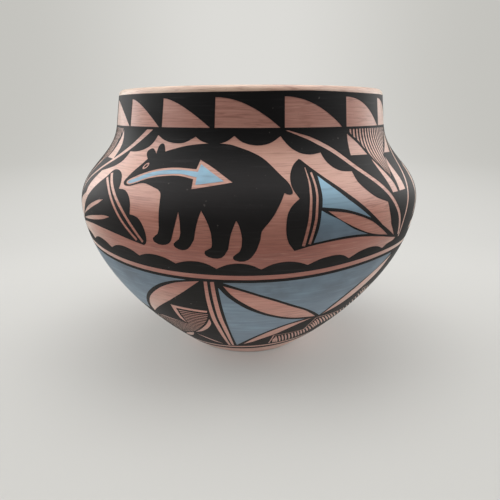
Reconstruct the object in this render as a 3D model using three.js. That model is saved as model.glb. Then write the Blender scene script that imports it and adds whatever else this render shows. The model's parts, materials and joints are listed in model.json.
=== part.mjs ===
import * as THREE from 'three';

// Sizes in millimetres. The table is z = 0 and the pot's axis is Z.
const HEIGHT = 185;             // from the table to the top of the lip
const BELLY_DIAMETER = 242;     // widest part of the pot
const BELLY_LEVEL = 112.5;      // height of the widest part
const FOOT_DIAMETER = 90;       // where the wall runs down to the table
const FOOT_ROUNDING = 2.5;      // worn edge between the foot and the wall
const NECK_DIAMETER = 189;      // where the shoulder turns up into the neck
const NECK_LEVEL = 162.5;       // height of that turn
const MOUTH_DIAMETER = 183.6;   // outside of the neck, just under the lip
const WALL = 6.6;               // thickness of the wall and of the rounded lip
const FLOOR = 9;                // thickness of the floor
const FLOOR_BLEND = 14;         // height over which the inner wall turns into the floor

// How full the curves are, as parts of the stretch that each one crosses
const FOOT_FLARE = 1.25;        // outward run for each millimetre of rise at the foot
const BOWL_RISE = 0.48;
const BELLY_BELOW = 0.16;
const BELLY_ABOVE = 0.45;
const SHOULDER_DRAW = 0.43;

// Steps round the pot and along each stretch of its outline
const ROUND_STEPS = 64;
const BOWL_STEPS = 13;
const SHOULDER_STEPS = 13;
const LIP_STEPS = 4;            // in each quarter of the half round
const BLEND_STEPS = 5;

const bellyRadius = BELLY_DIAMETER / 2;
const footRadius = FOOT_DIAMETER / 2;
const neckRadius = NECK_DIAMETER / 2;
const mouthRadius = MOUTH_DIAMETER / 2;
const lipLevel = HEIGHT - WALL / 2;

// Bowl, from the foot up to the belly
function bowlCurve() {
  const rise = BOWL_RISE * BELLY_LEVEL;
  return new THREE.CubicBezierCurve(
    new THREE.Vector2(footRadius, 0),
    new THREE.Vector2(footRadius + FOOT_FLARE * rise, rise),
    new THREE.Vector2(bellyRadius, BELLY_LEVEL * (1 - BELLY_BELOW)),
    new THREE.Vector2(bellyRadius, BELLY_LEVEL),
  );
}

// Shoulder, from the belly in to the foot of the neck, which leans in a little towards the mouth
function shoulderCurve() {
  const span = NECK_LEVEL - BELLY_LEVEL;
  const neckLean = (neckRadius - mouthRadius) / (lipLevel - NECK_LEVEL);
  const draw = SHOULDER_DRAW * span;
  return new THREE.CubicBezierCurve(
    new THREE.Vector2(bellyRadius, BELLY_LEVEL),
    new THREE.Vector2(bellyRadius, BELLY_LEVEL + BELLY_ABOVE * span),
    new THREE.Vector2(neckRadius + neckLean * draw, NECK_LEVEL - draw),
    new THREE.Vector2(neckRadius, NECK_LEVEL),
  );
}

// Point one wall thickness inside the outer surface
function insidePoint(curve, share) {
  const along = curve.getTangent(share);
  return curve.getPoint(share).add(new THREE.Vector2(-along.y, along.x).multiplyScalar(WALL));
}

// Foot: flat on the table, with a small rounding into the bowl
function footPoints(bowl) {
  const along = bowl.getTangent(0);
  const edge = new THREE.QuadraticBezierCurve(
    new THREE.Vector2(footRadius - FOOT_ROUNDING, 0),
    new THREE.Vector2(footRadius, 0),
    new THREE.Vector2(footRadius, 0).addScaledVector(along, FOOT_ROUNDING),
  );
  return [new THREE.Vector2(0, 0), ...edge.getPoints(2)];
}

// Lip: a half round as thick as the wall, standing upright on the neck
function lipPoints() {
  const lip = new THREE.Path();
  lip.absarc(mouthRadius - WALL / 2, lipLevel, WALL / 2, 0, Math.PI, false);
  return lip.getPoints(LIP_STEPS);
}

// Floor: the inner wall turns smoothly into a flat floor that reaches the axis
function floorPoints(wallEnd, wallAbove) {
  const down = wallEnd.clone().sub(wallAbove).normalize();
  const corner = wallEnd.clone().addScaledVector(down, (FLOOR - wallEnd.y) / down.y);
  const flatEdge = new THREE.Vector2(corner.x - corner.distanceTo(wallEnd), FLOOR);
  const blend = new THREE.QuadraticBezierCurve(wallEnd, corner, flatEdge);
  return [...blend.getPoints(BLEND_STEPS).slice(1), new THREE.Vector2(0, FLOOR)];
}

// Whole outline, from the middle of the foot, up the outside, over the lip and down the inside
function potOutline() {
  const bowl = bowlCurve();
  const shoulder = shoulderCurve();
  const foot = footPoints(bowl);
  const outside = [
    ...bowl.getPoints(BOWL_STEPS).slice(1).filter((point) => point.y > foot.at(-1).y + 1),
    ...shoulder.getPoints(SHOULDER_STEPS).slice(1),
  ];
  const inside = [];
  for (let step = SHOULDER_STEPS; step > 0; step -= 1) {
    inside.push(insidePoint(shoulder, step / SHOULDER_STEPS));
  }
  for (let step = BOWL_STEPS; step >= 0; step -= 1) {
    inside.push(insidePoint(bowl, step / BOWL_STEPS));
  }
  const wall = inside.filter((point) => point.y > FLOOR + FLOOR_BLEND);
  return [...foot, ...outside, ...lipPoints(), ...wall, ...floorPoints(wall.at(-1), wall.at(-2))];
}

// Fired clay body: one hollow vessel, open at the mouth
function clayBody() {
  const geometry = new THREE.LatheGeometry(potOutline(), ROUND_STEPS);
  geometry.rotateX(Math.PI / 2);
  const clay = new THREE.MeshStandardMaterial({ color: 0xd9a894, roughness: 0.78, metalness: 0 });
  const body = new THREE.Mesh(geometry, clay);
  body.name = 'clay_body';
  return body;
}

const vase = new THREE.Group();
vase.name = 'pottery_vase';
vase.add(clayBody());

export default vase;
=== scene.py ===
"""Hand-built, hand-painted pottery vase: a peach clay body with black and blue slip painted on it."""

import json
import math

import bpy
import numpy as np
from mathutils import Matrix, Vector
from mathutils.geometry import delaunay_2d_cdt

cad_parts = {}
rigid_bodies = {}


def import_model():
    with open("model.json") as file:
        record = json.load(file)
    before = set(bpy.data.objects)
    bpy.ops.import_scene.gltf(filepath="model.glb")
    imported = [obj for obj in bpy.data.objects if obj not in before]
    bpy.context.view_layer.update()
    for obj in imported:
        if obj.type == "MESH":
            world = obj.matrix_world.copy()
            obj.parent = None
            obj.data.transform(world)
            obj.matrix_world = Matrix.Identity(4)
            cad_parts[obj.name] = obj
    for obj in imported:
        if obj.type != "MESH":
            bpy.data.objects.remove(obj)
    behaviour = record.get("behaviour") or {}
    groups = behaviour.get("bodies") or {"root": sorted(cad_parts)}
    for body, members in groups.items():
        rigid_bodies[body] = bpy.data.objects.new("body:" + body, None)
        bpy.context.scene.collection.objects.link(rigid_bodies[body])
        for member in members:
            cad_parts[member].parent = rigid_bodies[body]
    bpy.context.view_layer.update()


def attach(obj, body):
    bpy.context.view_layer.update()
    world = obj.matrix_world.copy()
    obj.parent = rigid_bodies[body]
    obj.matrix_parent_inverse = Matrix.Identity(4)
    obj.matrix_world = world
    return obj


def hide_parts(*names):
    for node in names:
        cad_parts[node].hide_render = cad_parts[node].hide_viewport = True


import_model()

# Sizes of the pot in millimetres. The table is z = 0, the axis is Z and the painted front faces -Y.
HEIGHT = 185
BELLY_DIAMETER = 242
BELLY_LEVEL = 112.5
FOOT_DIAMETER = 90
FOOT_ROUNDING = 2.5
NECK_DIAMETER = 189
NECK_LEVEL = 162.5
MOUTH_DIAMETER = 183.6
WALL = 6.6
FLOOR = 9
FLOOR_BLEND = 14

# How full the curves of the outline are, as parts of the stretch that each one crosses
FOOT_FLARE = 1.25
BOWL_RISE = 0.48
BELLY_BELOW = 0.16
BELLY_ABOVE = 0.45
SHOULDER_DRAW = 0.43

# Hand building: the wall drifts sideways going up, is never quite round, and its lip stands up a little
LEAN = 0.0205
LEAN_LEVEL = 96.8
UNEVEN = 0.22
LIP_LIFT = 0.45
LIP_TILT = 0.12

# Painting: slip layers stand this far out of the clay, and reach this far into it
SLIP_RISE = 0.10
SLIP_ROOT = 0.12

# Steps along each stretch of the outline, and round the pot
BOWL_STEPS = 42
SHOULDER_STEPS = 22
NECK_STEPS = 7
LIP_STEPS = 5
BLEND_STEPS = 12
ROUND_STEPS = 256

# A millimetre in metres, and the least length that anything is divided by
MM = 0.001
TINY = 1e-6


# Outline of the pot

def bezier(points, steps):
    """Points of a cubic curve, as rows of radius and level."""
    share = np.linspace(0, 1, steps + 1)[:, None]
    a, b, c, d = (np.array(point, float) for point in points)
    rest = 1 - share
    return a * rest**3 + 3 * b * rest**2 * share + 3 * c * rest * share**2 + d * share**3


def quarter(centre, radius, start, steps):
    """Points of a quarter circle, turning anticlockwise from the start angle in degrees."""
    turn = np.radians(np.linspace(start, start + 90, steps + 1))
    return np.stack([centre[0] + radius * np.cos(turn), centre[1] + radius * np.sin(turn)], 1)


def run_along(points):
    """How far each point lies from the first one, along the line of points."""
    return np.concatenate([[0], np.cumsum(np.linalg.norm(np.diff(points, axis=0), axis=1))])


def outward(points):
    """Direction square to a line of points, to its right."""
    along = np.gradient(points, axis=0)
    along /= np.maximum(np.linalg.norm(along, axis=1), TINY)[:, None]
    return np.stack([along[:, 1], -along[:, 0]], 1)


FOOT = FOOT_DIAMETER / 2
BELLY = BELLY_DIAMETER / 2
NECK = NECK_DIAMETER / 2
MOUTH = MOUTH_DIAMETER / 2
LIP_LEVEL = HEIGHT - WALL / 2


def bowl(steps):
    """Outside of the bowl, from the foot up to the belly."""
    rise = BOWL_RISE * BELLY_LEVEL
    return bezier([(FOOT, 0), (FOOT + FOOT_FLARE * rise, rise),
                   (BELLY, BELLY_LEVEL * (1 - BELLY_BELOW)), (BELLY, BELLY_LEVEL)], steps)


def shoulder(steps):
    """Outside of the shoulder, from the belly in to the foot of the neck."""
    span = NECK_LEVEL - BELLY_LEVEL
    draw = SHOULDER_DRAW * span
    neck_lean = (NECK - MOUTH) / (LIP_LEVEL - NECK_LEVEL)
    return bezier([(BELLY, BELLY_LEVEL), (BELLY, BELLY_LEVEL + BELLY_ABOVE * span),
                   (NECK + neck_lean * draw, NECK_LEVEL - draw), (NECK, NECK_LEVEL)], steps)


def neck(steps):
    """Outside of the neck, up to where the lip begins."""
    share = np.linspace(0, 1, steps + 1)[:, None]
    return (1 - share) * [NECK, NECK_LEVEL] + share * [MOUTH, LIP_LEVEL]


def outside_line(fine):
    """Outside of the pot from the table up to the crest of the lip, in steps so many times finer."""
    lip = quarter((MOUTH - WALL / 2, LIP_LEVEL), WALL / 2, 0, LIP_STEPS * fine)
    return np.concatenate([bowl(BOWL_STEPS * fine), shoulder(SHOULDER_STEPS * fine)[1:],
                           neck(NECK_STEPS * fine)[1:], lip[1:]])


def pot_line():
    """Whole outline, from the middle of the foot, up the outside, over the lip and down the inside."""
    out = outside_line(1)
    out = out[out[:, 1] > FOOT_ROUNDING * 0.7]
    foot = [(0, 0), (FOOT * 0.5, 0), (FOOT - FOOT_ROUNDING, 0), (FOOT - FOOT_ROUNDING / 3, 0.2),
            (FOOT + 0.8, 0.8)]
    over = quarter((MOUTH - WALL / 2, LIP_LEVEL), WALL / 2, 90, LIP_STEPS)
    wall = np.concatenate([bowl(BOWL_STEPS), shoulder(SHOULDER_STEPS)[1:]])
    inside = (wall - WALL * outward(wall))[::-1]
    inside = inside[inside[:, 1] > FLOOR + FLOOR_BLEND]
    down = inside[-1] - inside[-2]
    corner = inside[-1] + down * (FLOOR - inside[-1][1]) / down[1]
    flat = np.array([corner[0] - np.linalg.norm(corner - inside[-1]), FLOOR])
    share = np.linspace(0, 1, BLEND_STEPS + 1)[1:, None]
    blend = (1 - share)**2 * inside[-1] + 2 * share * (1 - share) * corner + share**2 * flat
    floor = [(flat[0] * 0.6, FLOOR), (flat[0] * 0.25, FLOOR), (0, FLOOR)]
    return np.concatenate([foot, out, over[1:], inside, blend, floor])


# Outside in fine steps, how far up the wall each of its points lies, and which way it faces
OUTSIDE = outside_line(8)
ALONG = run_along(OUTSIDE)
FACING = outward(OUTSIDE)


def uneven(turn, level):
    """How far the hand-made wall stands out from a true circle."""
    return UNEVEN * (np.sin(2 * turn + 0.7 + level / 45) + 0.6 * np.sin(3 * turn - level / 30)
                     + 0.4 * np.sin(7 * turn + level / 12))


def place(turn, radius, level):
    """Place on the hand-made pot, in metres, of a point of the true outline turned from the front."""
    swell = radius + uneven(turn, level) * np.clip(radius / FOOT, 0, 1)
    crest = np.clip((level - NECK_LEVEL) / (HEIGHT - NECK_LEVEL), 0, 1)
    lift = crest * (LIP_LIFT + LIP_TILT * np.sin(turn))
    across = swell * np.sin(turn) + LEAN * (level - LEAN_LEVEL)
    return MM * np.stack([across, -swell * np.cos(turn), level + lift], -1)


# Painted design. A place on the pot is given in degrees round from the front and in height above the
# table. On the flat sheet that the design is drawn on, a radian is SHEET wide, and heights run along
# the wall. No painted edge is longer than EDGE.

SHEET = 100
HALF_ROUND = math.pi * SHEET
EDGE = 2.6

CLAY, BLACK, BLUE = 0, 1, 2


def spot(degrees, level):
    """Place on the flat sheet."""
    return np.array([math.radians(degrees) * SHEET, np.interp(level, OUTSIDE[:, 1], ALONG)])


def line(*places):
    """Straight from place to place."""
    return np.array([spot(*one) for one in places])


def curve(*places, start=None):
    """One smooth brush line through the places, which may go on from a point of the sheet."""
    knots = line(*places) if start is None else np.concatenate([[start], line(*places)])
    ends = np.concatenate([[2 * knots[0] - knots[1]], knots, [2 * knots[-1] - knots[-2]]])
    rows = [knots[:1]]
    for before, near, far, after in zip(ends, ends[1:], ends[2:], ends[3:]):
        span = np.linalg.norm(far - near)
        away = (far - before) / max(np.linalg.norm(far - before), TINY) * span
        toward = (after - near) / max(np.linalg.norm(after - near), TINY) * span
        share = np.linspace(0, 1, max(2, math.ceil(span / EDGE)) + 1)[1:, None]
        rows.append((2 * share**3 - 3 * share**2 + 1) * near + (share**3 - 2 * share**2 + share) * away
                    + (3 * share**2 - 2 * share**3) * far + (share**3 - share**2) * toward)
    return np.concatenate(rows)


def bulge(start, crest, end):
    """Round scallop from start to end, whose highest or lowest place is the crest."""
    sides = [(0.55 * cusp[0] + 0.45 * crest[0], cusp[1] + 0.72 * (crest[1] - cusp[1]))
             for cusp in (start, end)]
    return curve(start, sides[0], crest, sides[1], end)


def split(points):
    """Long edges cut into short ones, so that the painted sheet follows the round wall."""
    rows = []
    for start, end in zip(points, np.roll(points, -1, axis=0)):
        count = max(1, math.ceil(np.linalg.norm(end - start) / EDGE))
        rows.append(start + (end - start) * np.arange(count)[:, None] / count)
    return np.concatenate(rows)


def stroke_edge(path, widths):
    """Both edges of a brush stroke along a path, whose width in millimetres changes evenly along it."""
    radius = np.interp(path[:, 1], ALONG, OUTSIDE[:, 0])
    true = path * np.stack([radius / SHEET, np.ones(len(path))], 1)
    run = run_along(true)
    half = np.interp(run / run[-1], np.linspace(0, 1, len(widths)), widths) / 2
    side = outward(true) * half[:, None]
    side[:, 0] *= SHEET / radius
    return np.concatenate([path - side, (path + side)[::-1]])


class Design:
    """Painted shapes in the order in which they are laid on, each with its colour."""

    def __init__(self):
        self.shapes = []

    def fill(self, colour, *parts):
        """Area within an edge. A part given as a list is a smooth line that goes on from the part before."""
        edge = []
        for part in parts:
            if isinstance(part, list):
                part = curve(*part, start=edge[-1][-1] if edge else None)
            edge.append(part)
        self.shapes.append((colour, split(np.concatenate(edge))))

    def stroke(self, colour, path, *widths):
        """Brush stroke along points of the sheet, or along a smooth line through a list of places."""
        path = curve(*path) if isinstance(path, list) else path
        self.shapes.append((colour, split(stroke_edge(path, widths))))

    def leaf(self, upper, lower):
        """Pointed clay leaf between two smooth lines, of which the lower one is given without the tips."""
        self.fill(CLAY, curve(*upper), curve(upper[0], *lower, upper[-1])[::-1])

    def ring(self, colour, low, high):
        """Band round the whole pot between two wavy levels, each a function of the degrees."""
        turns = np.arange(-182, 183, 2)
        self.fill(colour, line(*[(turn, low(turn)) for turn in turns]),
                  line(*[(turn, high(turn)) for turn in turns[::-1]]))

    def repeat(self, unit, turns):
        """The shapes of a unit once at each turn, given in degrees. The unit is told which turn it is."""
        for turn in turns:
            part = Design()
            unit(part, turn % 360)
            along = [math.radians(turn) * SHEET, 0]
            self.shapes += [(colour, shape + along) for colour, shape in part.shapes]


def stripe_level(degrees):
    """Upper edge of the clay stripe under the pictures, which rises where two pictures meet."""
    return 86.2 + 5 * ((1 - math.cos(math.radians(3 * (degrees + 8)))) / 2)**1.5


def base_level(degrees):
    """Lower edge of the painting, a little askew on the foot."""
    return 10 + 6 * math.sin(math.radians(degrees))


def rim_level(degrees):
    """Upper edge of the black field, which rises a little over the fan behind each bear."""
    turned = (degrees + 39) % 120 - 60
    return 181.4 + 0.7 * math.exp(-(turned / 18)**2)


def bands(art):
    """Black field from lip to foot, and the clay stripe round the belly, 3 mm high."""
    art.ring(BLACK, base_level, rim_level)
    art.ring(CLAY, lambda degrees: stripe_level(degrees) - 3, stripe_level)


# Lower and upper edge of the black ring round the foot of the neck
NECK_RING = (161.7, 163.1)

# Split lobes round the neck: left edge, right tip and how round the falling edge is
NECK_LOBES = [(-71, -52, 1.7), (-51, -34, 1.6), (-32.6, -13.8, 1.55), (-12.2, 9.7, 1.95),
              (11.2, 33.7, 1.95), (35.8, 57.3, 2.05), (58.6, 79.5, 1.9)]
HIDDEN_LOBES = 9


def neck_lobes(art):
    """Clay lobes, those on the hidden side spaced evenly over what the others leave."""
    first, last = NECK_LOBES[0][0] + 360, NECK_LOBES[-1][1] + 1.5
    pitch = (first - last) / HIDDEN_LOBES
    hidden = [(last + n * pitch, last + (n + 1) * pitch - 1.6, 1.9) for n in range(HIDDEN_LOBES)]
    for left, right, curl in NECK_LOBES + hidden:
        top = 178.9 + 0.4 * math.sin(math.radians(left * 2))
        share = np.linspace(0, 1, 13)
        fall = [(left + (right - left) * s, top - (top - NECK_RING[1]) * s**curl) for s in share]
        for shift in (0, -360):
            turned = [(degrees + shift, level) for degrees, level in fall]
            art.fill(CLAY, line((left + shift, NECK_RING[1]), *turned))


# Left arm of the stripe over each picture, below the place where it bends down
ARCH_FEET = {0: [(-51.2, 146.6), (-59.5, 138.2), (-61.9, 135.1), (-64.8, 131), (-67.2, 125.4), (-68.9, 117),
                 (-69.2, 107)],
             120: [(-49.8, 149.2), (-54.6, 143.1), (-58.1, 136), (-61.1, 129.2), (-63.7, 122.2), (-66, 114.5),
                   (-67.6, 107)],
             240: [(-51.2, 146.6), (-57.6, 139.6), (-61.6, 130.6), (-64.7, 118), (-66.9, 104)]}


def arch(art, turn):
    """Clay stripe that arches over each picture."""
    art.stroke(CLAY, [(-37.3, 162.9), (-43.6, 155.2), *ARCH_FEET[turn], (-68.6, 97)],
               3.2, 3.0, 2.8, 2.6, 2.4, 2.0)
    art.stroke(CLAY, [(11.3, 162), (15, 160), (20.9, 156.5), (28.8, 149.4), (35.9, 139.2), (41.8, 129.9),
                      (46.1, 119.5), (49, 110), (50.6, 99)],
               0.4, 2.4, 3.0, 3.2, 3.2, 2.8, 2.4)


# Scallops over and under each picture. The upper ones run from cusp to cusp, and from the third on each
# goes on from the cusp before.
UPPER_SCALLOPS = [
    [(-66.5, 99), (-64.8, 108), (-62.8, 116), (-61.2, 122)],
    [(-61.2, 122), (-61, 126.5), (-59.2, 131.8), (-57.3, 136.5)],
    [(-53, 138.5), (-49.6, 140.7), (-47.3, 143.7), (-46, 148.8)],
    [(-42.4, 149.1), (-39, 150.4), (-36, 153.3), (-33.8, 158.7)],
    [(-30.6, 156.1), (-26.4, 154.7), (-22.4, 155.1), (-18.6, 158.3)],
    [(-16, 155.8), (-12, 154.6), (-8.2, 155.8), (-5.4, 158.9)],
    [(-2.6, 155.6), (2, 154), (6.2, 155.1), (9.7, 158.7)],
    [(12.4, 153.4), (15.4, 150.1), (19.2, 148.9), (23, 149.7)],
    [(23.9, 145.7), (25.6, 142.2), (28.2, 140), (32.1, 139.3)],
    [(32.4, 134.2), (34.6, 129.2), (37.6, 125), (42.1, 121.6)],
]
LOWER_CUSPS = [(49.2, 97.4), (42.7, 93), (28.9, 91.9), (15.9, 91.4), (3.3, 90.2), (-8.5, 90.3), (-19.9, 91.7),
               (-31.7, 93.2), (-43.8, 93.7), (-55.4, 94.3), (-67.4, 98)]
LOWER_CRESTS = [(46.5, 95.6), (36.5, 96.3), (24, 95.5), (9.7, 94.4), (-2.6, 94), (-14.2, 94.3), (-26.6, 95.7),
                (-38.1, 97.1), (-50.1, 97.7), (-60.5, 97.6)]


def ground(art, turn):
    """Clay field of a picture, with a scalloped border above and below."""
    first = [(-66.5, 99), (-69.4, 108), (-67.4, 116), (-61.8, 122)] if turn == 0 else UPPER_SCALLOPS[0]
    lower = [bulge(*three) for three in zip(LOWER_CUSPS, LOWER_CRESTS, LOWER_CUSPS[1:])]
    art.fill(CLAY, first, curve(*UPPER_SCALLOPS[1]), *UPPER_SCALLOPS[2:],
             line((42.6, 116.3), (44.1, 108), (47.4, 99.8), (49.2, 97.4)), *lower)


def bear(art):
    """Striding bear with its back to the top of the field, in black."""
    head = [(-37.9, 131.4), (-38.8, 131.7), (-39.6, 132.8), (-39.6, 134.3), (-38.3, 138.6), (-36.5, 142.5),
            (-35, 145.7)]
    near_ear = [(-36.1, 147.3), (-36.7, 149), (-36.3, 150.3), (-35.3, 151.3), (-34.1, 151.2), (-32.3, 148.6)]
    far_ear = [(-32.4, 150.7), (-32.3, 152.8), (-31.6, 154.1), (-30.6, 154.2), (-29.8, 152.9), (-29, 150.2)]
    back = curve((-28.9, 150.1), (-25.9, 151.6), (-21.6, 153.4), (-16.9, 154.5), (-12, 155), (-6.8, 154.5),
                 (-3.4, 152.9), (0, 150.9), (3.4, 148), (5.9, 144.4), (8.4, 139.7), (10.5, 135.6),
                 (11.2, 132.5))
    tail = [(11.2, 130.6), (10.2, 130), (9, 130.9)]
    rump = [(8.3, 128.2), (7.4, 125), (6.2, 120.9), (4.6, 116.4), (3, 112.2), (2.8, 108.2), (1.9, 102)]
    hind_foot = [(0.6, 97.6), (-1.2, 95.4), (-3.6, 96), (-4, 98.2), (-2.4, 101), (-1.9, 104)]
    hind_gap = [(-1.8, 108.6), (-2.5, 115), (-3.3, 117.9)], [(-4.5, 111), (-5.2, 102.5)]
    second_foot = [(-6.9, 97.4), (-9.3, 96.9), (-11.1, 98.4), (-11.2, 100.9), (-9.5, 103), (-9.3, 106)]
    belly = [(-9.5, 111), (-10.6, 117.3), (-12.2, 122.5)], [(-13.1, 116), (-13.9, 107)]
    third_foot = [(-15.6, 101.7), (-17.3, 100.5), (-19.2, 101.7), (-19.6, 103.9), (-18, 106.8), (-17.5, 110)]
    front_gap = [(-17.6, 116), (-18.2, 121.3)], [(-19, 114), (-20, 107)]
    front_foot = [(-20.9, 103.8), (-23, 102.3), (-25.3, 103.4), (-25.7, 105.8), (-24.1, 108.6), (-23.6, 112)]
    chest = [(-23.7, 118), (-24.1, 126.5), (-24.6, 129.8), (-25.9, 131.4)]
    jaw = [(-28.1, 132.5), (-30.7, 133.6), (-32.4, 133.6), (-34.6, 132.6), (-36, 131.7), (-37.9, 131.4)]
    art.fill(BLACK, head, near_ear, far_ear, back, tail, rump, hind_foot, *hind_gap, second_foot, *belly,
             third_foot, *front_gap, front_foot, chest, jaw)


def eye(art):
    """Almond eye, drawn as a thin clay ring."""
    turn = np.linspace(0, 2 * math.pi, 16, endpoint=False)
    tilt = math.radians(48)
    for colour, long, wide in ((CLAY, 2.6, 1.8), (BLACK, 1.4, 0.8)):
        across = long * np.cos(turn)
        up = wide * np.sin(turn)
        turned = np.stack([across * math.cos(tilt) - up * math.sin(tilt),
                           across * math.sin(tilt) + up * math.cos(tilt)], 1)
        art.fill(colour, spot(-34.2, 142.1) + turned * [0.84, 1])   # a radian is wider here than SHEET


def heart_line(art):
    """Blue arrow from the mouth to the heart, edged with bare clay."""
    art.fill(CLAY, [(-38.5, 133.1), (-38.4, 134.2), (-36.7, 136), (-34.3, 138), (-29.8, 140.7),
                    (-23.2, 142.3), (-16, 141.9)],
             line((-15.5, 146.6)), [(-10.7, 142.5), (-4.8, 136)], line((-15.8, 132.4), (-16.1, 137.1)),
             [(-20.1, 138.3), (-24, 138.2), (-30.2, 136.4), (-35.4, 132.9), (-36.8, 132.2), (-38, 132.4)])
    art.fill(BLUE, [(-38.1, 133.2), (-37.6, 134), (-35.6, 135.6), (-31.5, 138.7), (-26.7, 140.6),
                    (-21, 141.3), (-15.3, 140.6)],
             line((-14.9, 144.4), (-7.2, 136.5), (-15, 134.5), (-15.2, 138)),
             [(-20.3, 139.3), (-26.5, 138.5), (-30.4, 137.1), (-35.3, 133.7), (-37, 132.8)])


def right_fan(art):
    """Black fan behind the bear, with two clay stripes, two blue panels and a clay leaf."""
    art.fill(BLACK, [(14.9, 146.9), (12.9, 144.2), (11.4, 139.6), (11.1, 135.6), (11.5, 132.2), (12.9, 128)],
             [(11, 125.3), (9.6, 121.4), (9.1, 115.3), (9.2, 110.5), (9.9, 105.5), (11.6, 100.7)],
             [(16.4, 103), (23, 104.5), (29.9, 104.7), (37.7, 102.6), (50, 97.2)],
             line((49.6, 97.6), (47.2, 99.9), (39.6, 109), (35, 116.4), (27.6, 128.4), (21.6, 137.3),
                  (15.5, 146.5)))
    art.stroke(CLAY, [(16.3, 142.6), (16.5, 135.8), (16.1, 129), (15.6, 123.2), (15.2, 117.2), (13.9, 103)],
               0.5, 1.3, 1.7, 1.9)
    art.stroke(CLAY, [(17.8, 140.2), (18.05, 134), (17.85, 128.8), (17.3, 123), (16.9, 117), (15.5, 103.9)],
               1.3, 1.3, 1.6, 1.7)
    art.fill(BLUE, line((19.5, 138.4), (21.4, 135.2), (27.1, 125.8), (34.3, 114.7)),
             [(29.9, 118.3), (25.2, 121.2), (18.8, 123.2)], [(19.3, 128.6), (19.5, 138.4)])
    art.leaf([(20.3, 121.1), (26.5, 119), (33.9, 113.5), (38.7, 107.7), (43.2, 101.6)],
             [(24, 115.9), (30.5, 109), (36, 104.8)])
    art.fill(BLUE, [(18.5, 121.6), (20.5, 119.2), (23.9, 115.6), (28.3, 110), (33.8, 105.4)],
             [(29, 106.2), (22.9, 105.9), (16.6, 104.4)], [(17.7, 112), (18.5, 121.6)])


def left_fan(art):
    """Black fan in front of the bear, with two clay stripes and two clay leaves."""
    art.fill(BLACK, [(-49.4, 137.1), (-48.4, 138.4), (-46.6, 138.7), (-44, 137.7), (-42, 135.4),
                     (-40.7, 131.8), (-40.4, 129.4)],
             [(-37.4, 129.2), (-34.8, 126), (-33.6, 121.6), (-33.4, 117.2)],
             [(-30.6, 116.2), (-28.6, 111.5), (-27.9, 105.5), (-28.3, 101.8), (-29.1, 100.6)],
             [(-34.1, 102.4), (-40, 104.2), (-46, 105.2), (-52.5, 105.5), (-60, 104.1), (-66.8, 101.6)],
             [(-61.9, 110), (-58.4, 120), (-53, 130.2), (-50.5, 134.2), (-49.4, 137.1)])
    art.stroke(CLAY, [(-49.9, 133.8), (-45.6, 128.8), (-40.9, 121.3), (-35.7, 111), (-31.4, 102.9)],
               2, 1.8, 1.7, 1.7)
    art.stroke(CLAY, [(-48.8, 136.4), (-45.1, 131.3), (-41.4, 126.3), (-36.7, 119), (-33, 111.3),
                      (-29.3, 102.4)],
               2.4, 2, 1.9, 1.8)
    art.leaf([(-62.8, 107.8), (-56.2, 115.6), (-51.7, 119.4), (-49, 121.3), (-46.2, 122.2)],
             [(-55.4, 113.5), (-51.4, 117), (-48.6, 119.4)])
    art.leaf([(-63.6, 105.2), (-54.8, 109.9), (-48.8, 112.2), (-44.8, 113.4), (-42, 113.3)],
             [(-55.3, 107.3), (-49.1, 109.3), (-45, 111.2)])


# Degrees between the hatching lines of a panel
HATCH_PITCH = 1.82

# Clay wedge beside the hatching, which differs from panel to panel: top, and both ends of its foot
WEDGES = {240: [(63, 161), (57.8, 143.6), (64.8, 143.4)], 0: [(70.8, 161), (56.2, 146.7), (63.2, 146.2)],
          120: [(66, 161), (56.4, 146), (63, 145.6)]}


def panel(art, turn):
    """Tapering panel between two pictures, with fine hatching, clay corners and two blades."""
    top, inner, outer = WEDGES[turn]
    left = [(35.7, 162.6), (38.2, 158.4), (41.2, 155), (44.6, 148), (45.7, 144.5), (47.6, 139), (49.6, 133.4)]
    right = [(top[0], 162.6), (top[0] - 0.8, 160.5), ((top[0] + inner[0]) / 2 - 2, 152.6),
             (inner[0] - 1, inner[1] - 0.6), (53.2, 142.2), (52.1, 138.8), (49.6, 133.4)]
    art.fill(CLAY, curve(*left), curve(*right)[::-1])
    for start in np.arange(36.8, top[0], HATCH_PITCH):
        bend = [(0, 162.9), (0, 156), (0.02, 150), (0.12, 145.5), (0.42, 140), (0.74, 133.2)]
        path = [(start + (49.8 - start) * share, level) for share, level in bend]
        art.stroke(BLACK, path, 1.5, 1.3, 1.2, 1.0, 0.8, 0.55)
    art.fill(BLACK, curve(*left), line((43.5, 133.2), (33, 147), (35, 162.6)))
    art.fill(BLACK, curve(*right), line((58, 133.2), (top[0] + 1, 150), (top[0] + 1, 162.6)))
    art.fill(CLAY, [(35.8, 159.2), (35.5, 153.4), (34.9, 147.4)], line((43.6, 147)),
             [(41.3, 152.2), (38.6, 156), (35.8, 159.2)])
    art.fill(CLAY, [top, ((top[0] + inner[0]) / 2 + 0.3, 152.8), inner], line(outer),
             [((top[0] + outer[0]) / 2 + 1.2, 152.6), top])
    foot = 47.9 if turn == 240 else 49.2    # slimmer blades in the panel left of the front picture
    art.fill(CLAY, [(44.3, 144.8), (44.8, 138.5), (46, 125.8)], line((foot, 125.7)),
             [(foot - 0.3, 131), (46.3, 140.2), (44.3, 144.8)])
    if turn == 240:
        art.fill(CLAY, [(55, 144.6), (51, 138.8), (48.7, 125.7)], line((51.2, 125.6)),
                 [(50.9, 132.8), (53.4, 139.4), (55, 144.6)])
    else:
        art.fill(CLAY, [(55, 144.6), (52.1, 138.8), (50.4, 125.7)], line((55.2, 125.6)),
                 [(55.2, 133), (54.7, 140), (55, 144.6)])


# How far the left end of each picture is drawn in, where that begins and how wide it spreads, in degrees
DRAWN_IN = {0: 0, 120: 8, 240: 4}
DRAWN_FROM = -36
DRAWN_OVER = 26


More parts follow.
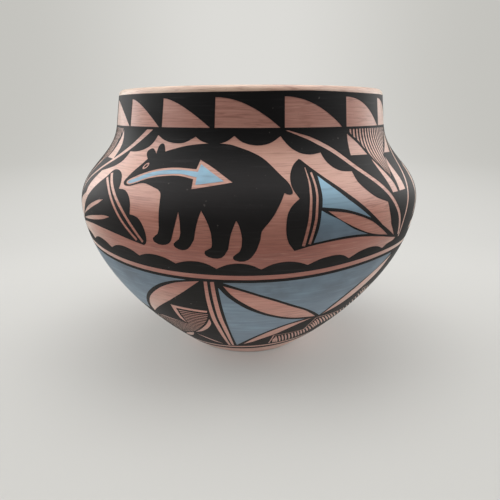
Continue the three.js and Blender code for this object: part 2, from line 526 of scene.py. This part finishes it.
def upper_unit(art, turn):
    """One picture and the panel to its right."""
    arch(art, turn)
    picture = Design()
    ground(picture, turn)
    bear(picture)
    eye(picture)
    heart_line(picture)
    right_fan(picture)
    left_fan(picture)
    for colour, shape in picture.shapes:
        share = np.clip((DRAWN_FROM - np.degrees(shape[:, 0] / SHEET)) / DRAWN_OVER, 0, 1)
        shape[:, 0] += np.radians(DRAWN_IN[turn] * share) * SHEET
        art.shapes.append((colour, shape))
    panel(art, turn)


def petal_top(first, last):
    """Upper edge of a blue petal from one turn to another, a little under the clay stripe."""
    return [(degrees, stripe_level(degrees) - 4.9) for degrees in range(first, last, 5)]


def petals(art):
    """Blue petals, clay leaves and the pair of stripes that fall from the stripe to the foot."""
    art.fill(BLUE, line((-7.1, 81.1), *petal_top(-4, 52), (51.2, 85)),
             [(45.5, 76.5), (39.2, 68.2), (33.4, 57.2), (29.5, 46.9)],
             [(24.9, 52.5), (20, 57.8), (13.9, 63.5), (8.7, 68.4), (4.1, 72.2), (-0.1, 75.7), (-7.1, 81.1)])
    art.leaf([(-7.2, 78.8), (-2.5, 75.8), (3.6, 70.9), (9.2, 66.1), (14.2, 61.4), (20.5, 55.6),
              (25.3, 49.7), (27.8, 46.5)],
             [(-4.5, 71.2), (0.1, 63.6), (4.8, 57.8), (8.9, 54.3), (13.3, 51.4), (17.8, 49.2), (22.6, 47.9)])
    art.fill(BLUE, [(-8.6, 77.4), (-6.3, 71), (-2.4, 63.9), (0.1, 60.4), (4.9, 55.6), (9, 52.5), (13.4, 49.7),
                    (18.2, 47.6), (23, 46.2)],
             [(17.6, 44.2), (12.3, 40.2), (6.8, 34.3), (1.2, 27), (-6.1, 16.3)],
             [(-7.2, 36.4), (-8.2, 59.9), (-8.6, 77.4)])
    art.leaf([(-2.2, 18.2), (1.8, 25), (7, 32.2), (12.5, 38.3), (17.8, 42.6), (27.2, 45.8)],
             [(2.2, 21.4), (7.7, 26.5), (13.8, 32.1), (19, 38.2), (22.6, 42)])
    art.stroke(CLAY, [(-12.1, 81.4), (-12.4, 68), (-12.4, 50), (-11.9, 39.8), (-11.4, 28.2), (-10.9, 14.5)],
               2.0, 2.4, 2.7, 2.8, 2.3, 1.6)
    art.stroke(CLAY, [(-10.2, 81.4), (-10.15, 68.4), (-9.85, 51), (-9.3, 41.4), (-8.8, 30), (-8.6, 14.5)],
               2.2, 2.6, 2.8, 2.7, 2.2, 1.5)
    art.leaf([(53, 84.8), (46, 76.5), (40.3, 67.5), (35.1, 57.6), (30.7, 46.6)],
             [(50, 73), (45.2, 63.8), (38.6, 53.6)])


def far_petals(art, edge):
    """Blue petal and clay leaf left of the stripes, and the dark points with fine hatching under them."""
    art.fill(BLUE, line((edge, 88), *petal_top(-52, -22), (-17.8, 81.4)),
             [(-22.8, 79.3), (-28.3, 74.8), (-34.8, 66.3), (-40.2, 57), (-46.4, 44.6)],
             [((edge - 46) / 2, 48), (edge + 4, 60), (edge + 2, 74), (edge, 88)])
    art.fill(CLAY, [(-13.9, 81.3), (-17.8, 80.1), (-21.5, 78.4), (-25, 75.6), (-28.9, 71.4), (-36, 61.4),
                    (-42, 50), (-44.4, 42.6)],
             line((-26.9, 62.4), (-19.9, 71.9)))
    art.fill(CLAY, line((-27.8, 58.4), (-19.1, 57.6), (-13.9, 57.4), (-14.3, 55.4), (-20, 55.5),
                        (-26.2, 55.8), (-26.6, 48.9), (-26.3, 39.8), (-28.2, 44.5), (-28.2, 52.2)))
    end = [(-14.1, 54), (-15.7, 47.7), (-18, 42.3), (-22.1, 35.5), (-25.3, 31.5), (-28.9, 28.4), (-33, 25.9),
           (-39, 22.4), (-46, 20.5)]
    art.fill(CLAY, line((-25.7, 54.3), (-20.1, 54)), curve(*end), line((-51, 24), (-50, 34)),
             [(-46, 38.6), (-40.5, 41), (-33.6, 41.2), (-26, 40.1)])
    degrees, levels = np.array(end[::-1]).T
    for low in np.arange(52.8, 21, -1.9):
        right = np.interp(low, levels, degrees)
        art.stroke(BLACK, line((-25.9 if low > 41 else -51.5, low), (right + 0.3, low)), 1.25)
    art.leaf([(-14.3, 49.4), (-16.5, 43.4), (-18.9, 39), (-22.3, 34), (-27, 28.8)],
             [(-14.3, 45), (-15.9, 40.4), (-18.4, 36.2), (-22.2, 32)])
    art.stroke(CLAY, [(-27, 26.4), (-24.4, 23.9), (-20.6, 20.6), (-14.8, 16.1)], 0.8, 2.6, 2.8, 0.8)
    art.leaf([(-43, 17), (-35, 23.6), (-28.4, 27.8)], [(-36, 19), (-31.4, 23)])


# Stepped band along the outer edge of the petals: its corners, and both ends of its short strokes
STEPS = [(13.3, 17.8), (13.1, 29.8), (28.6, 31), (29.2, 44.3), (47.4, 42.4), (46.6, 60.6), (62, 59.8)]
STROKES_ABOVE = [(14, 23), (14.6, 28), (19.3, 29), (24.2, 29.9), (28.3, 31), (29.9, 36.2), (30.2, 41.8),
                 (34, 43), (39.1, 42.6), (46.4, 42.4), (47.6, 49), (47.3, 57), (50, 59.6), (58, 59.2)]
STROKES_BELOW = [(14.8, 18.2), (18.4, 18), (24.2, 18.2), (29.6, 20.6), (33.4, 23.6), (36.8, 28), (37.6, 31.4),
                 (42.6, 33), (48, 33.6), (53.6, 35.8), (55.6, 41), (57, 48), (59, 50.6), (63, 52)]


def border(art):
    """Stepped band of short slanting strokes along the outer edge of the petals."""
    for start, end in zip(STEPS, STEPS[1:]):
        art.stroke(CLAY, line(start, end), 1.0)
    steps = range(len(STROKES_ABOVE))
    for step in np.arange(0.3, len(steps) - 1, 0.34):
        above, below = (np.array([np.interp(step, steps, measures) for measures in zip(*row)])
                        for row in (STROKES_ABOVE, STROKES_BELOW))
        art.stroke(CLAY, line(above, (above + below) / 2, below), 0.9, 1.3, 0.9)
    art.leaf([(58, 19), (55.6, 28), (56.4, 38), (59.5, 46)], [(61.5, 26), (62, 36)])
    art.leaf([(66, 19), (65, 27), (66, 34), (69, 39)], [(69.6, 24), (70.6, 32)])


# Upper left corner of each far petal, in degrees
PETAL_EDGES = {0: -64.8, 120: -56.5, 240: -60}


def lower_unit(art, turn):
    """One repeat of the lower zone."""
    petals(art)
    far_petals(art, PETAL_EDGES[turn])
    border(art)


# Edges of the thin clay ring and the black ring over it, above the lower edge of the painting
FOOT_RINGS = (2.5, 4.9, 6.1)


def above_base(rise):
    """Wavy level that stays so far above the lower edge of the painting."""
    return lambda degrees: base_level(degrees) + rise


def whole_design():
    """All the shapes, with enough repeats that none is cut off where the sheet ends."""
    art = Design()
    bands(art)
    neck_lobes(art)
    turns = (-240, -120, 0, 120, 240)
    art.repeat(upper_unit, turns)
    art.ring(BLACK, lambda degrees: NECK_RING[0], lambda degrees: NECK_RING[1])
    art.repeat(lower_unit, turns)
    low, middle, high = (above_base(rise) for rise in FOOT_RINGS)
    art.ring(CLAY, low, middle)
    art.ring(BLACK, middle, high)
    return art.shapes


def topmost(points, shapes):
    """Colour of the last shape laid over each point; bare clay where there is none."""
    colours = np.full(len(points), CLAY)
    order = np.argsort(points[:, 0])
    sorted_x = points[order, 0]
    for colour, shape in shapes:
        low, high = shape.min(axis=0), shape.max(axis=0)
        near = order[np.searchsorted(sorted_x, low[0]):np.searchsorted(sorted_x, high[0])]
        near = near[(points[near, 1] > low[1]) & (points[near, 1] < high[1])]
        if not len(near):
            continue
        x, y = points[near].T
        turns = np.zeros(len(near))
        for (x0, y0), (x1, y1) in zip(shape, np.roll(shape, -1, axis=0)):
            if y0 == y1:
                continue
            side = (x1 - x0) * (y - y0) - (x - x0) * (y1 - y0)
            turns += (y0 <= y) & (y < y1) & (side > 0)
            turns -= (y1 <= y) & (y < y0) & (side < 0)
        colours[near[turns != 0]] = colour
    return colours


# Slip layers

# Lowest and highest level of the painted sheet
PAINT_LEVELS = (2, 184)

# Distance of the points that fill the sheet, and of their rows as a part of it
FILL_PITCH = 3.6
FILL_ROW = 0.866

# On the sheet: points this near are one, the seam is this narrow, and its two sides meet this closely
WELD = 1e-4
SEAM_WIDTH = 1e-3
SEAM_MATCH = 0.02

# UV map of a layer, in parts of the map: its painted side lowest, then its underside, then its skirt
CHART_MARGIN = 0.005
CHART_WIDTH = 0.99
UPPER_HEIGHT = 0.88
LOWER_HEIGHT = 0.06
LOWER_START = 0.9
SKIRT_START = 0.97
SKIRT_END = 0.99


def sheet_lines(shapes, low, high):
    """Points of the sheet, and the edges that its triangles have to keep."""
    rows = [shape for colour, shape in shapes
            if shape[:, 0].max() > -HALF_ROUND and shape[:, 0].min() < HALF_ROUND]
    edges = []
    count = 0
    for shape in rows:
        steps = np.arange(len(shape))
        edges += [(count + int(a), count + int(b)) for a, b in zip(steps, np.roll(steps, -1))]
        count += len(shape)
    uprights = np.linspace(low, high, math.ceil((high - low) / EDGE))
    for side in (-HALF_ROUND, HALF_ROUND):
        rows.append(np.stack([np.full(len(uprights), side), uprights], 1))
        edges += [(count + n, count + n + 1) for n in range(len(uprights) - 1)]
        count += len(uprights)
    for n, level in enumerate(np.arange(low, high, FILL_PITCH * FILL_ROW)):
        first = -HALF_ROUND + FILL_PITCH * (0.5 + 0.5 * (n % 2))
        across = np.arange(first, HALF_ROUND - FILL_PITCH * 0.4, FILL_PITCH)
        rows.append(np.stack([across, np.full(len(across), level)], 1))
    return np.concatenate(rows), edges


def drawn_sheet(shapes):
    """Flat triangles that follow every painted edge: their places on the sheet, corners and colours."""
    low, high = np.interp(PAINT_LEVELS, OUTSIDE[:, 1], ALONG)
    places, edges = sheet_lines(shapes, low, high)
    found = delaunay_2d_cdt([Vector(one) for one in places.tolist()], edges, [], 0, WELD, False)
    places = np.array([one[:] for one in found[0]])
    corners = np.array(found[2])
    middles = places[corners].mean(axis=1)
    inside = (np.abs(middles[:, 0]) < HALF_ROUND) & (middles[:, 1] > low) & (middles[:, 1] < high)
    corners, middles = corners[inside], middles[inside]
    return places, corners, topmost(middles, shapes)


def joined_round(places):
    """For each place on the sheet, the one that it meets where the sheet closes round the pot."""
    same = np.arange(len(places))
    start = np.where(np.abs(places[:, 0] + HALF_ROUND) < SEAM_WIDTH)[0]
    start = start[np.argsort(places[start, 1])]
    for end in np.where(np.abs(places[:, 0] - HALF_ROUND) < SEAM_WIDTH)[0]:
        near = start[np.abs(places[start, 1] - places[end, 1]).argmin()]
        if abs(places[near, 1] - places[end, 1]) < SEAM_MATCH:
            same[end] = near
    return same


def rim_edges(corners):
    """Edges that only one triangle has, each in the direction in which that triangle runs."""
    edges = np.concatenate([corners[:, [0, 1]], corners[:, [1, 2]], corners[:, [2, 0]]])
    taken = set(map(tuple, edges.tolist()))
    return [edge for edge in edges.tolist() if (edge[1], edge[0]) not in taken]


def parted(corners):
    """Corners in which a point where two painted areas only touch is a point of each area's own."""
    corners = corners.copy()
    ends = np.array(rim_edges(corners)).ravel()
    touching = np.where(np.bincount(ends) > 2)[0]
    source = list(range(corners.max() + 1))
    for point in touching:
        around = list(np.where((corners == point).any(axis=1))[0])
        fans = []
        while around:
            fan = [around.pop()]
            rest = set(corners[fan[0]]) - {point}
            grown = True
            while grown:
                joins = [n for n in around if rest & set(corners[n])]
                grown = bool(joins)
                for n in joins:
                    around.remove(n)
                    fan.append(n)
                    rest |= set(corners[n]) - {point}
            fans.append(fan)
        for fan in fans[1:]:
            for n in fan:
                corners[n][corners[n] == point] = len(source)
            source.append(point)
    return corners, np.array(source)


def chart_layer(mesh, flat, turn, skirt):
    """UV map of a layer, from the flat place of each corner and the turn of each point."""
    upper = flat * [CHART_WIDTH, UPPER_HEIGHT] + CHART_MARGIN
    lower = (flat * [CHART_WIDTH, LOWER_HEIGHT] + [CHART_MARGIN, LOWER_START])[:, ::-1]
    around = CHART_MARGIN + CHART_WIDTH * (0.5 + turn / (2 * math.pi))
    sides = []
    for b, a, *_ in skirt:
        start = around[a]
        end = start if abs(start - around[b]) > 0.5 else around[b]
        sides += [(end, SKIRT_START), (start, SKIRT_START), (start, SKIRT_END), (end, SKIRT_END)]
    chart = np.concatenate([upper.reshape(-1, 2), lower.reshape(-1, 2), np.array(sides)])
    mesh.uv_layers.new(name="OFBake").data.foreach_set("uv", chart.ravel())


def shade_layer(mesh, corners, normal):
    """Shade the painted side like the smooth wall under it, and leave the other faces flat."""
    shown = np.zeros((len(mesh.loops), 3))
    shown[:corners.size] = normal[corners.ravel()]
    for face in mesh.polygons[len(corners):]:
        shown[face.loop_start:face.loop_start + face.loop_total] = face.normal
    mesh.normals_split_custom_set(shown.tolist())


def slip_layer(name, places, corners):
    """Thin closed layer of slip over the triangles, standing a little out of the clay."""
    flat = np.stack([0.5 + places[:, 0] / (2 * HALF_ROUND), places[:, 1] / ALONG[-1]], 1)[corners]
    corners, source = parted(joined_round(places)[corners])
    used, numbers = np.unique(corners, return_inverse=True)
    corners = numbers.reshape(corners.shape)
    turn = places[source[used], 0] / SHEET
    along = places[source[used], 1]
    radius, level = (np.interp(along, ALONG, OUTSIDE[:, n]) for n in (0, 1))
    out, up = (np.interp(along, ALONG, FACING[:, n]) for n in (0, 1))
    top = place(turn, radius + SLIP_RISE * out, level + SLIP_RISE * up)
    root = place(turn, radius - SLIP_ROOT * out, level - SLIP_ROOT * up)
    count = len(used)
    skirt = [(b, a, a + count, b + count) for a, b in rim_edges(corners)]
    faces = corners.tolist() + (corners[:, ::-1] + count).tolist() + skirt
    mesh = bpy.data.meshes.new(name)
    mesh.from_pydata(np.concatenate([top, root]).tolist(), [], faces)
    mesh.shade_smooth()
    chart_layer(mesh, flat, turn, skirt)
    shade_layer(mesh, corners, np.stack([out * np.sin(turn), -out * np.cos(turn), up], 1))
    return added(name, mesh)


# Clay body and studio

def added(name, data):
    """New object in the scene, made of a mesh, a lamp or a camera."""
    made = bpy.data.objects.new(name, data)
    bpy.context.collection.objects.link(made)
    return made


def select_only(piece=None):
    """Make a piece the only one selected, or none."""
    for other in bpy.context.scene.objects:
        other.select_set(False)
    bpy.context.view_layer.objects.active = piece
    if piece:
        piece.select_set(True)


def spun(name, outline, steps):
    """Closed or open form turned round the Z axis from an outline in millimetres."""
    select_only()
    bpy.ops.mesh.primitive_plane_add(size=MM)
    piece = bpy.context.object
    piece.name = piece.data.name = name
    select_only(piece)
    bpy.ops.object.mode_set(mode="EDIT")
    bpy.ops.mesh.select_all(action="SELECT")
    bpy.ops.mesh.merge(type="CENTER")
    first = outline[0]
    bpy.ops.transform.translate(value=(first[0] * MM, 0, first[1] * MM))
    for step in np.diff(outline, axis=0):
        bpy.ops.mesh.extrude_region_move(TRANSFORM_OT_translate={"value": (step[0] * MM, 0, step[1] * MM)})
    bpy.ops.mesh.select_all(action="SELECT")
    bpy.ops.mesh.spin(steps=steps, angle=2 * math.pi, center=(0, 0, 0), axis=(0, 0, 1))
    bpy.ops.mesh.select_all(action="SELECT")
    bpy.ops.mesh.remove_doubles(threshold=0.01 * MM)
    bpy.ops.mesh.normals_make_consistent(inside=False)
    bpy.ops.object.mode_set(mode="OBJECT")
    bpy.ops.object.shade_smooth()
    select_only()
    return piece


def chart_body(mesh, turn, radius, along):
    """UV map of the pot, round it and along its outline, both given for each point."""
    chart = mesh.uv_layers.new(name="OFBake")
    corner = np.empty(len(mesh.loops), int)
    mesh.loops.foreach_get("vertex_index", corner)
    loop_turn = turn[corner]
    for face in mesh.polygons:
        loops = slice(face.loop_start, face.loop_start + face.loop_total)
        turns = loop_turn[loops]
        if turns.max() - turns.min() > math.pi:
            turns = np.where(turns < 0, turns + 2 * math.pi, turns)
        on_axis = radius[corner[loops]] < 0.01
        if on_axis.any():
            turns = np.where(on_axis, turns[~on_axis].mean(), turns)
        loop_turn[loops] = turns
    # A thin margin stays free all round the map
    around = 0.002 + 0.99 * (0.5 + loop_turn / (2 * math.pi)) / (1 + 1 / ROUND_STEPS)
    chart.data.foreach_set("uv", np.stack([around, 0.004 + 0.992 * along[corner]], 1).ravel())


def clay_body():
    """Fired clay pot, hand-built: spun from its outline, then eased out of true."""
    outline = pot_line()
    piece = spun("pot_of_clay", outline, ROUND_STEPS)
    mesh = piece.data
    seen = np.empty(len(mesh.vertices) * 3)
    mesh.vertices.foreach_get("co", seen)
    seen = seen.reshape(-1, 3) / MM
    radius = np.hypot(seen[:, 0], seen[:, 1])
    turn = np.arctan2(seen[:, 0], -seen[:, 1])
    run = run_along(outline)
    nearest = np.hypot(radius[:, None] - outline[:, 0], seen[:, 2:3] - outline[:, 1]).argmin(axis=1)
    chart_body(mesh, turn, radius, run[nearest] / run[-1])
    mesh.vertices.foreach_set("co", place(turn, radius, seen[:, 2]).ravel())
    mesh.update()
    return piece


# Finishes

def tone(red, green, blue):
    """Linear colour of a screen colour given in steps of 255."""
    def linear(value):
        value /= 255
        return value / 12.92 if value <= 0.04045 else ((value + 0.055) / 1.055)**2.4
    return (linear(red), linear(green), linear(blue), 1)


class Wire:
    """Output socket of a shader node that can be used in Python expressions."""

    def __init__(self, tree, socket=None):
        self.tree, self.socket = tree, socket

    def node(self, kind, settings=None, sockets=None, output=0):
        made = self.tree.nodes.new(kind)
        for name, value in (settings or {}).items():
            setattr(made, name, value)
        for name, value in (sockets or {}).items():
            if isinstance(value, Wire):
                self.tree.links.new(value.socket, made.inputs[name])
            else:
                made.inputs[name].default_value = value
        return Wire(self.tree, made.outputs[output]) if made.outputs else None

    def math(self, operation, first, second):
        return self.node("ShaderNodeMath", {"operation": operation}, {0: first, 1: second})

    def __add__(self, other):
        return self.math("ADD", self, other)

    def __radd__(self, other):
        return self.math("ADD", other, self)

    def __sub__(self, other):
        return self.math("SUBTRACT", self, other)

    def __rsub__(self, other):
        return self.math("SUBTRACT", other, self)

    def __mul__(self, other):
        return self.math("MULTIPLY", self, other)

    def __rmul__(self, other):
        return self.math("MULTIPLY", other, self)

    def __abs__(self):
        return self.math("ABSOLUTE", self, 0)

    def between(self, low, high):
        """0 below low and 1 above high, with a smooth change between them."""
        return self.node("ShaderNodeMapRange", {"interpolation_type": "SMOOTHSTEP"},
                         {"Value": self, "From Min": low, "From Max": high})


def mixed(share, first, second):
    """Colour that goes from the first to the second with the share."""
    return share.node("ShaderNodeMix", {"data_type": "RGBA"}, {0: share, 6: first, 7: second}, 2)


def finish(name):
    """New material, and the wire that its nodes start from: the place on the object."""
    material = bpy.data.materials.new(name)
    material.use_nodes = True
    material.node_tree.nodes.clear()
    return material, Wire(material.node_tree).node("ShaderNodeTexCoord", output="Object")


def measure(where, axis):
    """One measure of a place: 0 across, 1 in depth or 2 in height, in metres."""
    return where.node("ShaderNodeSeparateXYZ", {}, {0: where}, axis)


def grooves(height, strength, depth):
    """Shading of fine marks of a depth in metres."""
    return height.node("ShaderNodeBump", {}, {"Strength": strength, "Distance": depth, "Height": height})


def noise(where, stretch, detail, rough=0.55):
    """Noise value, with so many waves to the metre along each axis."""
    scaled = where.node("ShaderNodeMapping", {}, {"Vector": where, "Scale": stretch})
    return where.node("ShaderNodeTexNoise", {},
                      {"Vector": scaled, "Scale": 1.0, "Detail": detail, "Roughness": rough})


def surface_output(wire, sockets):
    """End of a material: its surface, with these inputs."""
    shader = wire.node("ShaderNodeBsdfPrincipled", {}, sockets)
    wire.node("ShaderNodeOutputMaterial", {}, {"Surface": shader})


def clay_finish():
    """Peach clay slip, palest on the shoulder and lip by painted highlight, darker on the neck and reddest
    under the belly by painted shade, with fine level brush marks.
    """
    material, where = finish("brushed_clay_slip")
    height = measure(where, 2)
    streaks = noise(where, (52, 52, 1150), 5, 0.65)
    marks = noise(where, (34, 34, 640), 2, 0.4)
    clouds = noise(where, (26, 26, 34), 2)
    specks = noise(where, (900, 900, 900), 1)
    # Painted highlight: the clay is paler on the shoulder, where the light from above falls
    shoulder_painted_shading = height.between(0.112, 0.14)
    # Painted shade: the neck, which faces the front, turns darker again
    neck_painted_shade = height.between(0.148, 0.166)
    # Painted highlight: the lip is pale cream where the light from above falls on it
    lip_painted_highlight = height.between(0.1812, 0.182)
    # Painted shade: the clay is darker and redder just under the belly
    under_belly_painted_shade = height.between(0.066, 0.08) * (1 - height.between(0.1, 0.114))
    edge = abs(marks - 0.5)
    lines = (1 - edge.between(0.01, 0.05)) * clouds.between(0.3, 0.6) * height.between(0.012, 0.03)
    colour = mixed(shoulder_painted_shading, tone(206, 139, 122), tone(218, 166, 147))
    colour = mixed(neck_painted_shade, colour, tone(206, 148, 132))
    colour = mixed(lip_painted_highlight, colour, tone(231, 200, 177))
    colour = mixed(clouds.between(0.35, 0.7) * 0.4, colour, tone(202, 142, 125))
    colour = mixed(under_belly_painted_shade * 0.85, colour, tone(181, 104, 86))
    colour = mixed(streaks.between(0.48, 0.68) * 0.34, colour, tone(150, 90, 76))
    colour = mixed((1 - streaks.between(0.34, 0.48)) * 0.22, colour, tone(240, 192, 172))
    colour = mixed(lines * 0.45, colour, tone(148, 88, 76))
    colour = mixed(specks.between(0.68, 0.8) * 0.3, colour, tone(150, 104, 90))
    surface_output(where, {"Base Color": colour, "Roughness": 0.3 + streaks * 0.16,
                           "Normal": grooves(streaks + specks * 0.3, 0.4, 0.0003),
                           "Sheen Weight": 0.9, "Sheen Roughness": 0.4, "Sheen Tint": tone(255, 246, 232)})
    return material


def black_finish():
    """Matte black slip, lighter high on the belly by a painted sheen and deepest above the belly by painted
    shade, with faint brush marks and dusty specks.
    """
    material, where = finish("matte_black_slip")
    height = measure(where, 2)
    strokes = noise(where, (38, 38, 700), 3, 0.6)
    clouds = noise(where, (22, 22, 30), 3)
    dust = noise(where, (420, 420, 420), 1)
    # Painted sheen: the black is lighter high on the belly, where the light from above catches it
    belly_painted_highlight = height.between(0.09, 0.125)
    # Painted shade: the black is deepest on the shoulder, above the belly
    shoulder_painted_shading = height.between(0.132, 0.152)
    colour = mixed(belly_painted_highlight, tone(29, 26, 24), tone(40, 38, 38))
    colour = mixed(clouds.between(0.4, 0.75) * 0.6, colour, tone(48, 45, 45))
    colour = mixed(shoulder_painted_shading * 0.8, colour, tone(21, 20, 20))
    colour = mixed(strokes.between(0.52, 0.8) * 0.5, colour, tone(58, 55, 56))
    colour = mixed(dust.between(0.74, 0.82) * 0.35, colour, tone(120, 112, 108))
    surface_output(where, {"Base Color": colour, "Roughness": 0.5 + clouds * 0.14,
                           "Normal": grooves(strokes + dust * 0.4, 0.3, 0.0002), "Specular IOR Level": 0.14})
    return material


def blue_finish():
    """Slate blue slip, clear high up by a painted highlight and darkest under the belly by painted shade,
    laid on in level strokes.
    """
    material, where = finish("slate_blue_slip")
    height = measure(where, 2)
    strokes = noise(where, (40, 40, 640), 4, 0.6)
    clouds = noise(where, (60, 60, 80), 3)
    dust = noise(where, (480, 480, 480), 1)
    # Painted shade: the blue turns darker above the lower bowl and is darkest under the belly
    bowl_painted_shade = height.between(0.058, 0.076)
    # Painted highlight: the blue is clear and pale high on the belly and shoulder, where the light from above
    # falls
    belly_painted_highlight = height.between(0.106, 0.142)
    colour = mixed(belly_painted_highlight, tone(108, 122, 135), tone(160, 203, 226))
    colour = mixed(bowl_painted_shade, tone(124, 140, 154), colour)
    colour = mixed(clouds.between(0.35, 0.75) * 0.5, colour, tone(134, 158, 176))
    colour = mixed(strokes.between(0.48, 0.74) * 0.42, colour, tone(104, 118, 134))
    colour = mixed((1 - strokes.between(0.34, 0.48)) * 0.12, colour, tone(170, 206, 226))
    colour = mixed(dust.between(0.74, 0.82) * 0.4, colour, tone(84, 88, 98))
    surface_output(where, {"Base Color": colour, "Roughness": 0.5 + strokes * 0.15,
                           "Normal": grooves(strokes + dust * 0.4, 0.3, 0.0002)})
    return material


def studio_finish():
    """White paper that takes the pot's shadow and, further out, looks pale, with painted shade that makes it
    darker to the sides and towards the front.
    """
    material, where = finish("pale_paper")
    away = where.node("ShaderNodeVectorMath", {"operation": "LENGTH"}, {0: where}, 1)
    across = abs(measure(where, 0))
    depth = measure(where, 1)
    direct, glossy, clear = (where.node("ShaderNodeLightPath", output=f"Is {kind} Ray")
                             for kind in ("Camera", "Glossy", "Transmission"))
    seen = direct + (glossy + clear) * depth.between(-0.2, 0.3)
    lit = mixed(away.between(0.16, 0.38), tone(222, 222, 218), tone(84, 84, 82))
    paper = where.node("ShaderNodeBsdfDiffuse", {}, {"Color": mixed(direct, lit, tone(206, 205, 201))})
    # Painted shade: the backdrop's glow is darker to the sides and towards the front
    pale = mixed(across.between(0.1, 1.0), tone(220, 219, 215), tone(196, 195, 190))
    pale = mixed(depth.between(-0.3, 0.15), tone(194, 193, 188), pale)
    glow = where.node("ShaderNodeEmission", {}, {"Color": pale})
    share = seen * (0.35 + away.between(0.15, 0.45) * 0.65)
    both = where.node("ShaderNodeMixShader", {}, {0: share, 1: paper, 2: glow})
    where.node("ShaderNodeOutputMaterial", {}, {"Surface": both})
    return material


def studio():
    """Seamless round of pale paper: floor, cove and wall."""
    reach, cove, top = 1900, 500, 2200      # millimetres
    bend = quarter((reach - cove, cove), cove, -90, 12)
    outline = np.concatenate([[(0, 0), (reach / 3, 0)], bend, [(reach, top)]])
    piece = spun("paper_round", outline, 96)
    piece.data.materials.append(studio_finish())


# Place that the lamps face
LAMP_AIM = (0, 0, 0.12)


def lamp(name, place_at, size, power):
    """Soft square lamp that faces the middle of the pot."""
    light = bpy.data.lights.new(name, "AREA")
    light.shape = "SQUARE"
    light.size = size
    light.energy = power
    holder = added(name, light)
    holder.visible_camera = False
    holder.location = place_at
    holder.rotation_euler = (Vector(LAMP_AIM) - Vector(place_at)).to_track_quat("-Z", "Y").to_euler()


def lights():
    """Light from above and both sides, with bright edges from behind and little from the front."""
    lamp("soft_top", (0, 0.1, 1.0), 1.0, 8.0)
    lamp("soft_left", (-0.68, -0.15, 0.63), 0.6, 3.6)
    lamp("soft_right", (0.68, -0.13, 0.63), 0.6, 3.3)
    lamp("sheen_left", (-0.85, 0.45, 0.42), 0.55, 3.2)
    lamp("sheen_right", (0.85, 0.45, 0.42), 0.55, 2.7)
    lamp("front_fill", (0, -1.0, 0.5), 1.0, 0.4)
    lamp("floor_bounce", (0, 0, 0.001), 0.5, 0.16)
    world = bpy.data.worlds.new("studio_air")
    bpy.context.scene.world = world
    world.use_nodes = True
    air = world.node_tree.nodes["Background"].inputs
    air["Color"].default_value = (1, 1, 1, 1)
    air["Strength"].default_value = 0.04


# Photograph's view, fitted to the pot's outline: place in metres, lens in millimetres, turns in degrees
VIEW_PLACE = (0, -0.35084, 0.17187)
VIEW_TURNS = (90 - 16.821, -0.147, -0.105)
SENSOR_WIDTH = 36
FOCAL_LENGTH = 33.12


def camera():
    """Photograph's view: level with the rim, looking down on the belly."""
    lens = bpy.data.cameras.new("photo_view")
    lens.sensor_width = SENSOR_WIDTH
    lens.lens = FOCAL_LENGTH
    lens.clip_start = 0.01
    holder = added("photo_view", lens)
    holder.location = VIEW_PLACE
    pitch, heading, roll = (math.radians(turn) for turn in VIEW_TURNS)
    aim = Matrix.Rotation(heading, 3, "Z") @ Matrix.Rotation(pitch, 3, "X") @ Matrix.Rotation(roll, 3, "Z")
    holder.rotation_euler = aim.to_euler()
    bpy.context.scene.camera = holder


def dress(piece, material):
    """Give a piece its finish and the body that it rides on."""
    piece.data.materials.append(material)
    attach(piece, "root")


def vase():
    """The pot and both layers of its painting."""
    body = clay_body()
    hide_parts("clay_body")
    dress(body, clay_finish())
    places, corners, colours = drawn_sheet(whole_design())
    for name, colour, material in (("black_slip", BLACK, black_finish()), ("blue_slip", BLUE, blue_finish())):
        dress(slip_layer(name, places, corners[colours == colour]), material)


camera()
studio()
lights()
vase()
bpy.context.scene.view_settings.view_transform = "Standard"
